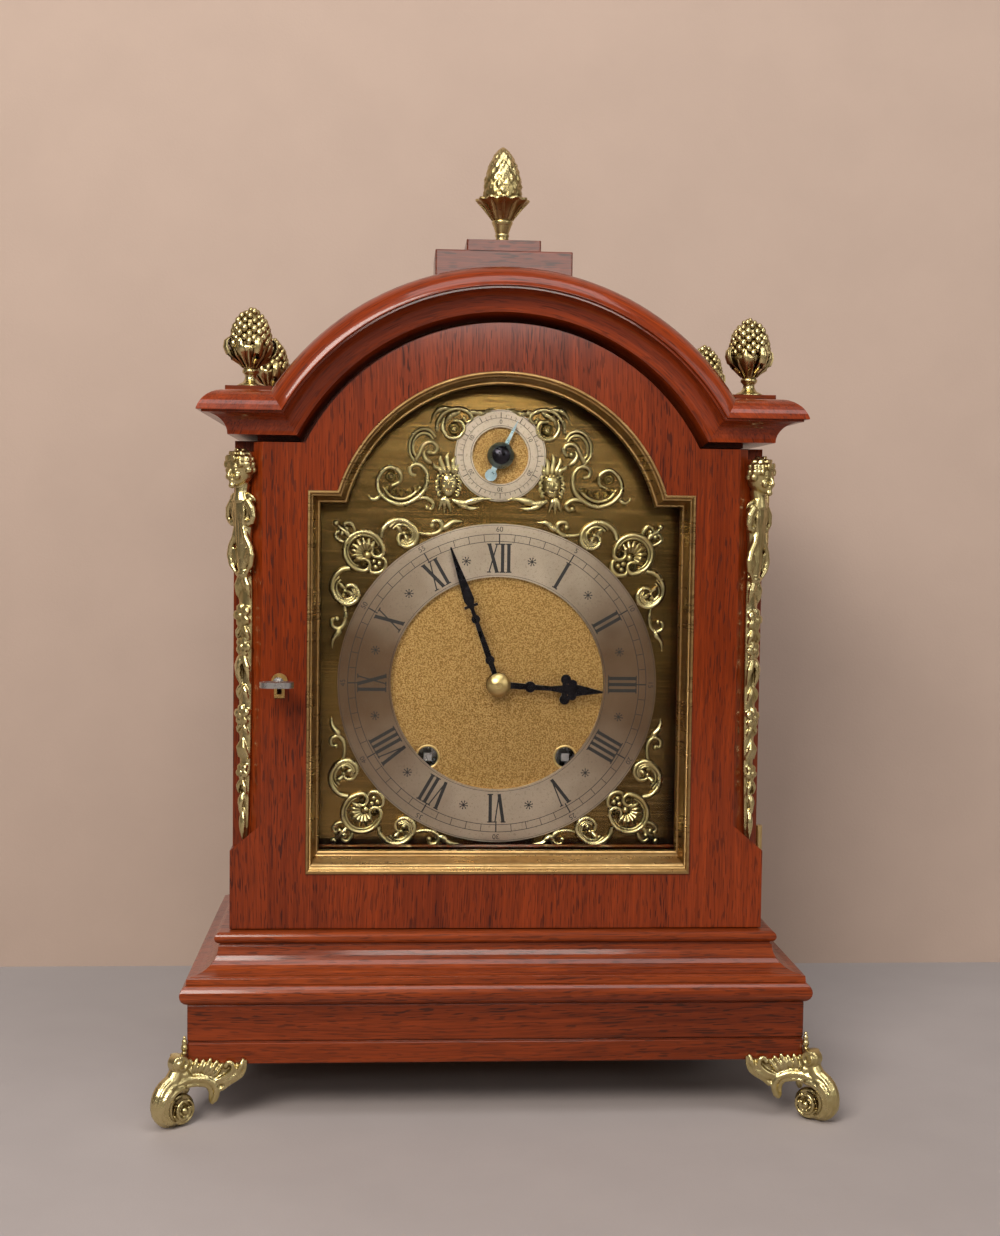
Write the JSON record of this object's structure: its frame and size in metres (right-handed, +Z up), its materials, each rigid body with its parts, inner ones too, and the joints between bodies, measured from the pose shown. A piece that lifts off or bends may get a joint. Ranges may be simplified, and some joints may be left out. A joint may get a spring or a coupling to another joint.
{
  "type": "chiming bracket clock",
  "caption": "Arched-top chiming bracket clock with an opening glazed front door, cast mounts, hands, two trains, a pendulum and coiled gongs.",
  "frame": {"origin": "on the table under the middle of the clock, at the bottom centre of its box", "axes": "+Z up, +Y towards the back, so the dial faces -Y; +X to the right as seen from the front"},
  "size_m": [0.2872, 0.1852, 0.4147],
  "materials": {
    "dark_walnut": "dark polished walnut",
    "red_walnut": "polished red-brown walnut",
    "plain_pine": "plain stained softwood",
    "pale_brass": "cast brass, pale and lightly lacquered",
    "gilt_brass": "lacquered brass of a deeper gold",
    "yellow_brass": "machined brass",
    "silvered_brass": "silvered brass, finely brushed",
    "clear_glass": "clear flat glass",
    "bright_steel": "polished steel",
    "blued_steel": "dark blued steel",
    "dark_iron": "blackened iron"
  },
  "bodies": {
    "case": {"plinth": "red_walnut", "base_moulding": "dark_walnut", "base_board": "plain_pine", "scroll_feet": "pale_brass", "side_left": "red_walnut", "side_right": "red_walnut", "arched_top": "red_walnut", "cornice": "dark_walnut", "top_blocks": "dark_walnut", "finial_top": "pale_brass", "corner_finials": "pale_brass", "hinge_fixed_leaves": "yellow_brass", "dial_mask": "dark_walnut", "dial_plate": "gilt_brass", "chapter_ring": "silvered_brass", "spandrels": "gilt_brass", "regulation_ring": "silvered_brass", "dial_feet": "yellow_brass", "seat_board": "plain_pine", "seat_rails": "plain_pine", "front_plate": "yellow_brass", "back_plate": "yellow_brass", "plate_pillars": "yellow_brass", "pendulum_cock": "yellow_brass", "gongs": "blued_steel", "gong_bracket": "dark_iron"},
    "front_door": {"front_door": "red_walnut", "sight_frame": "gilt_brass", "door_glass": "clear_glass", "figure_mounts": "pale_brass", "key_plate": "gilt_brass", "front_hinge_leaves": "yellow_brass"},
    "door_key": {"door_key": "bright_steel"},
    "door_latch": {"door_latch": "bright_steel"},
    "back_door": {"back_door": "red_walnut", "back_glass": "clear_glass", "back_hinge_leaves": "yellow_brass"},
    "back_latch": {"back_latch": "yellow_brass"},
    "minute_hand": {"minute_hand": "blued_steel", "cannon_pinion": "yellow_brass", "hand_collet": "yellow_brass"},
    "hour_hand": {"hour_hand": "blued_steel", "hour_wheel": "yellow_brass"},
    "minute_wheel": {"minute_wheel": "yellow_brass"},
    "regulation_hand": {"regulation_hand": "blued_steel"},
    "going_barrel": {"going_barrel": "yellow_brass"},
    "strike_barrel": {"strike_barrel": "yellow_brass"},
    "going_winder": {"going_winder": "bright_steel"},
    "strike_winder": {"strike_winder": "bright_steel"},
    "second_wheel": {"second_wheel": "yellow_brass"},
    "centre_wheel": {"centre_wheel": "yellow_brass"},
    "third_wheel": {"third_wheel": "yellow_brass"},
    "escape_wheel": {"escape_wheel": "yellow_brass"},
    "pallets": {"pallets": "bright_steel"},
    "pendulum": {"pendulum": "yellow_brass"},
    "pin_wheel": {"pin_wheel": "yellow_brass"},
    "strike_third_wheel": {"strike_third_wheel": "yellow_brass"},
    "fly": {"fly": "yellow_brass"},
    "hammer_low": {"hammer_low": "bright_steel"},
    "hammer_high": {"hammer_high": "bright_steel"}
  },
  "joints": [
    {"name": "front_door_hinge", "type": "hinge", "parent": "case", "child": "front_door", "pos_m": [0.1158, -0.04685, 0.18], "axis": [0, 0, 1], "range_deg": [0, 105]},
    {"name": "door_key_turn", "type": "hinge", "parent": "front_door", "child": "door_key", "pos_m": [-0.0935, -0.06, 0.183], "axis": [0, 1, 0], "range_deg": [-90, 0]},
    {"name": "door_latch_turn", "type": "hinge", "parent": "front_door", "child": "door_latch", "pos_m": [-0.0935, -0.045, 0.183], "axis": [0, 1, 0], "range_deg": [-90, 0]},
    {"name": "back_door_hinge", "type": "hinge", "parent": "case", "child": "back_door", "pos_m": [0.1018, 0.0777, 0.18], "axis": [0, 0, -1], "range_deg": [0, 110]},
    {"name": "back_latch_turn", "type": "hinge", "parent": "back_door", "child": "back_latch", "pos_m": [-0.092, 0.07, 0.183], "axis": [0, 1, 0], "range_deg": [-90, 0]},
    {"name": "minute_hand_turn", "type": "hinge", "parent": "case", "child": "minute_hand", "pos_m": [0, -0.04, 0.1805], "axis": [0, 1, 0], "continuous": true},
    {"name": "hour_hand_turn", "type": "hinge", "parent": "case", "child": "hour_hand", "pos_m": [0, -0.04, 0.1805], "axis": [0, 1, 0], "continuous": true},
    {"name": "minute_wheel_turn", "type": "hinge", "parent": "case", "child": "minute_wheel", "pos_m": [-0.00416, -0.028, 0.16908], "axis": [0, 1, 0], "continuous": true},
    {"name": "regulation_hand_turn", "type": "hinge", "parent": "case", "child": "regulation_hand", "pos_m": [0, -0.04, 0.2801], "axis": [0, 1, 0], "range_deg": [-120, 60]},
    {"name": "third_wheel_turn", "type": "hinge", "parent": "case", "child": "third_wheel", "pos_m": [0.00628, 0, 0.19774], "axis": [0, 1, 0], "continuous": true},
    {"name": "centre_wheel_turn", "type": "hinge", "parent": "case", "child": "centre_wheel", "pos_m": [0, 0, 0.1805], "axis": [0, 1, 0], "continuous": true},
    {"name": "second_wheel_turn", "type": "hinge", "parent": "case", "child": "second_wheel", "pos_m": [0.02103, 0, 0.17826], "axis": [0, 1, 0], "continuous": true},
    {"name": "going_barrel_turn", "type": "hinge", "parent": "case", "child": "going_barrel", "pos_m": [0.0303, 0, 0.148], "axis": [0, 1, 0], "continuous": true},
    {"name": "escape_wheel_turn", "type": "hinge", "parent": "case", "child": "escape_wheel", "pos_m": [0, 0, 0.21279], "axis": [0, 1, 0], "continuous": true},
    {"name": "going_winder_turn", "type": "hinge", "parent": "case", "child": "going_winder", "pos_m": [0.0303, -0.02, 0.148], "axis": [0, 1, 0], "continuous": true},
    {"name": "strike_winder_turn", "type": "hinge", "parent": "case", "child": "strike_winder", "pos_m": [-0.0303, -0.02, 0.148], "axis": [0, 1, 0], "continuous": true},
    {"name": "strike_third_wheel_turn", "type": "hinge", "parent": "case", "child": "strike_third_wheel", "pos_m": [-0.03581, 0, 0.19759], "axis": [0, 1, 0], "continuous": true},
    {"name": "pin_wheel_turn", "type": "hinge", "parent": "case", "child": "pin_wheel", "pos_m": [-0.04112, 0, 0.17774], "axis": [0, 1, 0], "continuous": true},
    {"name": "strike_barrel_turn", "type": "hinge", "parent": "case", "child": "strike_barrel", "pos_m": [-0.0303, 0, 0.148], "axis": [0, 1, 0], "continuous": true},
    {"name": "fly_turn", "type": "hinge", "parent": "case", "child": "fly", "pos_m": [-0.03091, 0, 0.21105], "axis": [0, 1, 0], "continuous": true},
    {"name": "pendulum_swing", "type": "hinge", "parent": "case", "child": "pendulum", "pos_m": [0, 0.0385, 0.23125], "axis": [0, 1, 0], "range_deg": [-4, 4]},
    {"name": "pallets_rock", "type": "hinge", "parent": "case", "child": "pallets", "pos_m": [0, 0.02, 0.23125], "axis": [0, 1, 0], "range_deg": [-4, 4]},
    {"name": "hammer_low_lift", "type": "hinge", "parent": "case", "child": "hammer_low", "pos_m": [-0.058, 0.03, 0.201], "axis": [0, 1, 0], "range_deg": [0, 14], "stiffness_Nm_per_rad": 0.04, "springref_deg": -8.59},
    {"name": "hammer_high_lift", "type": "hinge", "parent": "case", "child": "hammer_high", "pos_m": [-0.048, 0.03, 0.216], "axis": [0, 1, 0], "range_deg": [0, 14], "stiffness_Nm_per_rad": 0.04, "springref_deg": -8.59}
  ],
  "couplings": [
    {"joint": "door_latch_turn", "follows": "door_key_turn", "ratio": 1},
    {"joint": "hour_hand_turn", "follows": "minute_hand_turn", "ratio": 0.083333},
    {"joint": "minute_wheel_turn", "follows": "minute_hand_turn", "ratio": -0.33333},
    {"joint": "centre_wheel_turn", "follows": "third_wheel_turn", "ratio": -0.083333},
    {"joint": "second_wheel_turn", "follows": "third_wheel_turn", "ratio": 0.013889},
    {"joint": "going_barrel_turn", "follows": "third_wheel_turn", "ratio": -0.0023148},
    {"joint": "escape_wheel_turn", "follows": "third_wheel_turn", "ratio": -11.143},
    {"joint": "pin_wheel_turn", "follows": "strike_third_wheel_turn", "ratio": -0.13333},
    {"joint": "strike_barrel_turn", "follows": "strike_third_wheel_turn", "ratio": 0.022222},
    {"joint": "fly_turn", "follows": "strike_third_wheel_turn", "ratio": -8},
    {"joint": "pallets_rock", "follows": "pendulum_swing", "ratio": 1}
  ]
}
